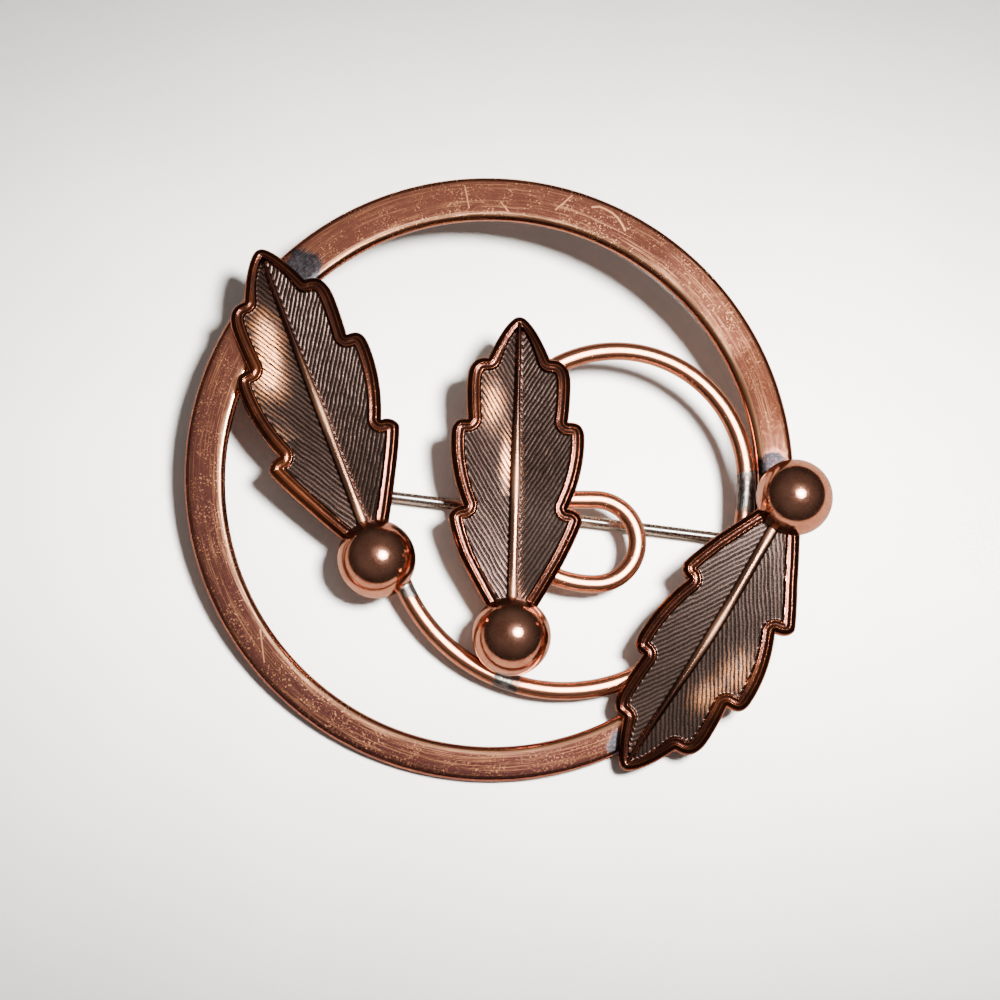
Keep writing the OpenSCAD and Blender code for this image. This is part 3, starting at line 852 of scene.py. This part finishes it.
# %% [markdown]
# The leaves are antiqued: dipped until they are nearly black, then rubbed, so copper
# shows again only where a thumb or a wheel reaches. So the colour follows the relief:
# dark in the grooves, brown on the lands between them, brown-red on rim and rib, bright
# on their crests, partly as rubbed copper and partly as painted highlight. The attribute
# `sheen_patch` lays patches of painted highlight, bright bare copper, where the lamp
# catches the fields.
#
# One recipe serves all three, and attributes tell the places apart: `lit_half` where a
# half's skin is painted lighter, as if it faced the paler side of the room, `low` for
# painted glints along the midrib, which is darker towards the tip, `edge` for the
# distance to the rim's edge. `lean` tips the surface's facing a little along the
# grooves, and so it catches the lamp in patches.

# %% Leaves: antiqued copper
recipe = Recipe("antiqued_copper")
field, rib, sheen_patch, edge, lit_half, low = (
    recipe.attribute(name) for name in ("engraved", "rib", "sheen_patch", "edge", "lit_half", "low"))
weave = recipe.attribute("weave", "Vector")
grit = recipe.noise(recipe.plan, 6.0, 4.0, 0.7)
cloud = recipe.noise(recipe.plan, 0.45, 3.0, 0.6)
streak = recipe.noise(recipe.scaled(weave, (5.5, 0.6, 1)), 1.0, 3.0, 0.6)
across_lane = recipe.math("SUBTRACT", recipe.math("FRACT", recipe.attribute("lanes")), 0.5)
phase = recipe.plus(recipe.math("ABSOLUTE", across_lane), recipe.times(sheen_patch, 0.09))
# painted highlight: the sheen patches, broken up by cloud and streaks, turn the field to bright
# copper
painted_sheen = recipe.times(sheen_patch, recipe.curve(cloud, 0.25, 0.5, 0.6, 1.0))
streaky = recipe.times(recipe.math("SUBTRACT", streak, 0.53), 3.6)
painted_sheen = recipe.times(recipe.math("ADD", painted_sheen, streaky, clamp=True),
                      recipe.curve(sheen_patch, 0.0, 0.35, 0.10, 1.0))


def field_colour(dull, brown, lit_skin, sheen_copper):
    """Skin from dull to brown, painted lighter on the lit halves, and bright copper in the painted
    highlight patches.
    """
    skin = recipe.mix(recipe.curve(streak, 0.35, 0.65), dull, brown)
    return recipe.mix(painted_sheen, recipe.mix(lit_half, skin, lit_skin), sheen_copper)


# the last colour of each is the painted highlight's bright copper, the third the lighter skin
# painted on the lit halves
land = field_colour((0.16, 0.105, 0.09), (0.26, 0.17, 0.145), (0.40, 0.285, 0.25),
                    (0.86, 0.32, 0.115))
brink = field_colour((0.19, 0.126, 0.108), (0.31, 0.20, 0.165), (0.44, 0.31, 0.27),
                     (0.95, 0.42, 0.17))
bottom = field_colour((0.115, 0.079, 0.07), (0.115, 0.079, 0.07), (0.22, 0.155, 0.135),
                      (0.24, 0.11, 0.06))
engraved_colour = recipe.mix(recipe.band(phase, 0.30, 0.10), land, brink)
engraved_colour = recipe.mix(recipe.curve(phase, 0.24, 0.14), engraved_colour, bottom)

cloudy = recipe.times(recipe.math("SUBTRACT", cloud, 0.5), 0.9)
# painted highlight on the rims where the sheen patches lie, plus random cloudy wear
rim_wear_and_sheen = recipe.math("ADD", sheen_patch, cloudy, clamp=True)
rim_colour = recipe.mix(rim_wear_and_sheen, (0.15, 0.056, 0.04), (0.58, 0.19, 0.09))
# crest lines painted bright: partly rubbed copper, partly painted highlight where the rounded
# crests catch the lamp
crest_wear_and_glint = recipe.most(recipe.band(edge, 0.52, 0.10), recipe.band(edge, 1.15, 0.08),
                     recipe.band(edge, 0.0, 0.10))
rim_colour = recipe.mix(recipe.times(crest_wear_and_glint, recipe.curve(cloud, 0.3, 0.6, 0.2, 0.6)),
                        rim_colour, (0.62, 0.20, 0.085))
# painted glints: the midrib turns bright copper near 14 and 4 mm from the foot, and darker towards
# the tip
rib_colour = recipe.mix(low, (0.20, 0.095, 0.07), (0.97, 0.52, 0.33))
rim_colour = recipe.mix(recipe.times(rib, 0.95), rim_colour, rib_colour)
colour = recipe.mix(field, rim_colour, engraved_colour)
rough = recipe.plus(recipe.times(field, 0.11), recipe.curve(grit, 0.3, 0.7, 0.12, 0.17),
                    recipe.times(rib, recipe.curve(low, 0.4, 1.0, 0.02, 0.17)))
facing = out(add(recipe.tree, "ShaderNodeNewGeometry"), "Normal")
leaning = recipe.vector("ADD", facing, recipe.attribute("lean", "Vector"))
antiqued = recipe.finish(Base_Color=colour, Metallic=1.0, Roughness=rough,
                         Normal=recipe.bump(recipe.plus(grit, streak), 0.000012, 0.7,
                                            recipe.vector("NORMALIZE", leaning)))

# %% [markdown]
# A blank is cut first: an even sheet of points, close enough for each groove to get about
# six of them, and the outline round it. A triangulation joins them all. The flat back
# needs no points inside, so it is filled from the outline alone.

# %% Leaves: cutting a blank
SHEET = 0.06
LEAN = math.radians(32)


def cut_blank(sprig):
    """Points and triangles of a flat leaf: its even sheet of points, cut to the outline."""
    halves = [half_outline(sprig, side) for side in (0, 1)]
    rim = np.vstack([halves[1], halves[0][::-1] * [1, -1]])[:, ::-1]
    rows = np.arange(halves[0][0, 0], halves[0][-1, 0], SHEET * 0.866)
    steps = np.arange(-7, 7, SHEET)
    y = np.repeat(rows, len(steps))
    x = (steps[None, :] + (np.arange(len(rows)) % 2)[:, None] * SHEET / 2).ravel()
    widths = [np.interp(y, half[:, 0], half[:, 1]) for half in halves]
    inside = np.where(x < 0, -x < widths[0], x < widths[1])
    sheet = np.stack([x, y], 1)[inside]
    sheet = sheet[distance_to(sheet, np.vstack([rim, rim[:1]])) > 0.6 * SHEET]
    flat = [Vector(p) for p in np.vstack([rim, sheet])]
    loop = list(range(len(rim)))
    sheets = []
    for places in (flat, flat[:len(rim)]):
        cut, _, faces, _, _, _ = delaunay_2d_cdt(places, [], [loop], 1, 1e-6, False)
        cut, faces = np.array([tuple(p) for p in cut]), np.array([tuple(f) for f in faces])
        x, y = cut[faces].mean(1).T
        widths = [np.interp(y, half[:, 0], half[:, 1]) for half in halves]
        sheets.append((cut, faces[np.where(x < 0, -x < widths[0], x < widths[1])].tolist()))
    return sheets[0][0], sheets[0][1], sheets[1][1], rim


# %% [markdown]
# Then each blank is pressed, engraved, turned to its place and cut out where its ball
# sits. `SHEEN_PATCHES` lists each leaf's patches of painted highlight, bright bare copper
# where the lamp catches the field: how far from the midrib and from the foot each lies,
# how wide and how long it is, in mm. `SHEEN_STRENGTH` says how bright they are, and
# `LAND_LEAN` how far the patch, the rest of that half and the other half lean.

# %% Leaves: three blanks, pressed, engraved and laid down
SHEEN_PATCHES = {
    "leaf_left": [(-2.1, 23.2, 1.5, 2.6), (-3.4, 19.6, 1.9, 2.6), (-4.9, 7.5, 2.0, 6.5)],
    "leaf_middle": [(-2.3, 21.6, 1.3, 2.6), (-0.9, 16.2, 0.6, 3)],
    "leaf_right": [(-3.9, 17.0, 1.7, 2.6), (-2.6, 20.4, 1.5, 1.8)],
}
FLOOR = {"leaf_left": (0.1, 0.1), "leaf_middle": (0.1, 0.1), "leaf_right": (-0.08, 0.08)}
LAND_LEAN = {"leaf_left": (-0.14, 0.1, -0.1), "leaf_middle": (-0.052, 0.1, -0.1),
             "leaf_right": (-0.052, 0.1, 0.1)}
# painted light: how much lighter each leaf's own-left and own-right half is painted, as if facing
# the paler side of the room (on the middle leaf only in its lower part)
LIT_HALF = {"leaf_left": (0, 0), "leaf_middle": (0, 1), "leaf_right": (0.3, 1)}
SHEEN_STRENGTH = {"leaf_left": 0.95, "leaf_middle": 0.86, "leaf_right": 0.70}
BOW = {"leaf_left": 0.0, "leaf_middle": 0.0, "leaf_right": -0.35}
for count, (name, sprig) in enumerate(SPRIGS.items()):
    place = (Matrix.Translation((*sprig["ball"][:2], sprig["back"]))
             @ Matrix.Rotation(math.radians(sprig["heading"] - 90), 4, "Z")
             @ Matrix.Translation((0, LEAF_LEN + sprig["slide"], 0))
             @ Matrix.Rotation(math.radians(sprig["lowered"]), 4, "Y")
             @ Matrix.Rotation(math.radians(-sprig["raised"]), 4, "X")
             @ Matrix.Translation((0, -LEAF_LEN, 0)))
    flat, faces, under, rim = cut_blank(sprig)
    x, y = flat.T
    x = x - BOW[name] * np.sin(np.clip(y / LEAF_LEN, 0, 1) * math.pi)**2
    edge = distance_to(flat, rim)
    height, engraved, on_rib = relief(x, y, edge, FLOOR[name])
    n, b = len(flat), len(rim)
    points = np.vstack([np.column_stack([flat, height]), np.column_stack([rim, np.zeros(b)])])
    skin = [tuple(f) for f in faces] + [tuple(n + i for i in reversed(f)) for f in under]
    skin += [(i, n + i, n + (i + 1) % b, (i + 1) % b) for i in range(b)]
    blade = make_mesh(name + "_blade", points, skin)
    # painted highlight patches, given as bright bare copper
    sheen_patch = sum(np.exp(-(((x - at) / wide)**2 + ((y - up_to) / tall)**2)**1.15)
               for at, up_to, wide, tall in SHEEN_PATCHES[name])
    away = np.abs(x)
    weave = np.column_stack([y * math.sin(LEAN) - away * math.cos(LEAN),
                             y * math.cos(LEAN) + away * math.sin(LEAN), np.sign(x)])
    sheen_patch = np.clip(sheen_patch, 0, 1) * np.where(y < 13, 1 - engraved, SHEEN_STRENGTH[name])
    steep = np.where(x < 0, LAND_LEAN[name][1] + (LAND_LEAN[name][0] - LAND_LEAN[name][1]) * sheen_patch,
                     LAND_LEAN[name][2]) * engraved
    turned = place.to_3x3()
    lean = (np.column_stack([np.sign(x) * math.sin(LEAN), np.full(n, math.cos(LEAN)), np.zeros(n)])
            * steep[:, None]) @ np.array(turned).T @ tilt.T
    store(blade, "lean", np.vstack([lean, np.zeros((b, 3))]), "FLOAT_VECTOR")
    # painted glints along the midrib, near 14 and 4 mm from the foot
    glint = 0.5 + 0.5 * (np.exp(-((y - 14.2) / 2.2)**2) + np.exp(-((y - 4.2) / 1.4)**2))
    lit_half = np.where(x < 0, *LIT_HALF[name]) * (step_up(y, 16, 11) if name == "leaf_middle" else 1)
    marked = {"lane": weave[:, 0], "lit_half": lit_half, "engraved": engraved, "rib": on_rib,
              "sheen_patch": sheen_patch, "edge": edge, "low": step_up(y, 22, 18) * glint,
              "cut": engraved * (1 - 0.25 * sheen_patch)}
    for label, values in marked.items():
        store(blade, label, np.concatenate([values, np.zeros(b)]))
    store(blade, "weave", np.vstack([weave, np.zeros((b, 3))]), "FLOAT_VECTOR")
    apply_tree(blade, engraver, Pitch=0.37, Depth=0.052, Groove=0.5, Waver=1.0, Seed=7 + count,
               Material=antiqued)
    blade.data.transform(place)
    cut_ball(blade, sprig["ball"], sprig["size"] + 0.03)
    smooth(blade, 55)
    lay_down(blade, antiqued, name)

# %% [markdown]
# ## The pin
#
# The stem is nickel-silver wire, with a flat eye on the hinge's rivet, a small collar and
# a long point. The hinge and the catch are small stampings. All three already have their
# true shape in CAD, so each solid is copied, its loose triangles are merged, and a narrow
# bevel rounds every edge as tumbling does. Faint brushing and a warm tarnish make the
# silver look handled.

# %% Pin: silver finish
recipe = Recipe("pin_silver")
brushing = recipe.noise(recipe.plan, 2.5, 3.0, 0.5)
tarnish = recipe.noise(recipe.plan, 0.6, 3.0, 0.6)
colour = recipe.mix(recipe.curve(tarnish, 0.4, 0.75), (0.80, 0.79, 0.76), (0.52, 0.48, 0.43))
silver = recipe.finish(Base_Color=colour, Metallic=1.0,
                       Roughness=recipe.curve(brushing, 0.3, 0.7, 0.22, 0.32),
                       Normal=recipe.bump(brushing, 0.000001, 0.4))

# %% Pin: hinge, catch and stem with softened edges
def unlay(points):
    """The way back from the table, in metres, to the flat drawing, in mm."""
    return (np.asarray(points) * 1000 + middle - pivot) @ tilt + pivot


for name, body, width in (("pin_hinge", "brooch", 0.07), ("pin_catch", "brooch", 0.07),
                          ("pin_stem", "pin", 0.05)):
    copy = new_object(name + "_fitting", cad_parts[name].data.copy())
    copy.data.vertices.foreach_set("co", unlay(points_of(copy)).ravel())
    shape = bmesh.new()
    shape.from_mesh(copy.data)
    bmesh.ops.remove_doubles(shape, verts=shape.verts, dist=0.002)
    bmesh.ops.dissolve_limit(shape, angle_limit=math.radians(1), verts=shape.verts,
                             edges=shape.edges)
    shape.to_mesh(copy.data)
    shape.free()
    soft = copy.modifiers.new("soften", "BEVEL")
    soft.width, soft.segments, soft.limit_method = width, 2, "ANGLE"
    soft.angle_limit = math.radians(35)
    bake(copy)
    smooth(copy, 35)
    lay_down(copy, silver, name, body)
